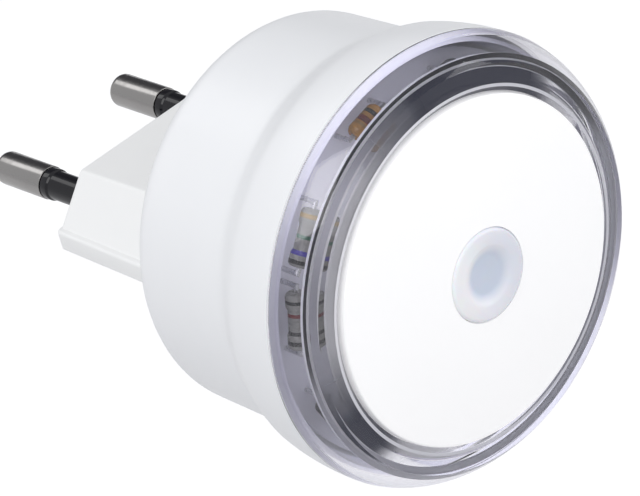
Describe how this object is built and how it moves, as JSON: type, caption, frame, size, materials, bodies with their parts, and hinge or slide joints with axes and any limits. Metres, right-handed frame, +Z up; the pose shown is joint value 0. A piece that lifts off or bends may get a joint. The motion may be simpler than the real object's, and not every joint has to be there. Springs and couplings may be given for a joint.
{
  "type": "plug in night light",
  "caption": "Round plug-in LED night light: white drum on a hexagonal two-pin plug base, with a clear front ring, white diffuser and central light sensor.",
  "frame": {"origin": "centre of the plug's engagement face, midway between the two pins", "axes": "+Y along the pins into the socket, X along the pair of pins, +Z up; the lamp's front faces -Y"},
  "size_m": [0.0514, 0.0716, 0.0514],
  "materials": {
    "white_shell": "glossy moulded white",
    "clear_ring": "clear moulded acrylic, polished",
    "diffuser_white": "smooth translucent white",
    "sensor_lens": "frosted pale lavender",
    "tube_white": "matt white",
    "pin_nickel": "nickel plate with fine turning marks",
    "pin_black": "glossy black insulation",
    "board_white": "white solder mask",
    "led_lens": "clear lens over yellow phosphor",
    "photocell_face": "coated ceramic",
    "resistor_coat": "lacquered, with colour bands",
    "amber_glass": "amber glass",
    "diode_black": "moulded black with a silver band",
    "can_sleeve": "shrunk dark blue sleeve",
    "film_box": "moulded yellow box",
    "ceramic_dip": "dipped orange-brown",
    "tinned_wire": "tinned copper",
    "solder": "bright solder",
    "screw_steel": "zinc plated",
    "wire_brown": "brown insulation",
    "wire_blue": "blue insulation"
  },
  "bodies": {
    "root": {"housing": "white_shell", "plug_base": "white_shell", "clear_bezel": "clear_ring", "front_diffuser": "diffuser_white", "sensor_window": "sensor_lens", "sensor_tube": "tube_white", "photocell": "photocell_face", "circuit_board": "board_white", "leds": "led_lens", "zener_diode": "amber_glass", "rectifier_diodes": "diode_black", "electrolytic_capacitor": "can_sleeve", "film_capacitor": "film_box", "ceramic_capacitor": "ceramic_dip", "transistor": "diode_black", "fuse": "resistor_coat", "component_leads": "tinned_wire", "solder_joints": "solder", "base_screws": "screw_steel", "board_screws": "screw_steel", "series_resistor": "resistor_coat", "timing_resistor": "resistor_coat", "bias_resistor": "resistor_coat", "pin_left": "pin_nickel", "pin_right": "pin_nickel", "pin_sleeve_left": "pin_black", "pin_sleeve_right": "pin_black", "mains_wire_left": "wire_blue", "mains_wire_right": "wire_brown"}
  },
  "joints": []
}
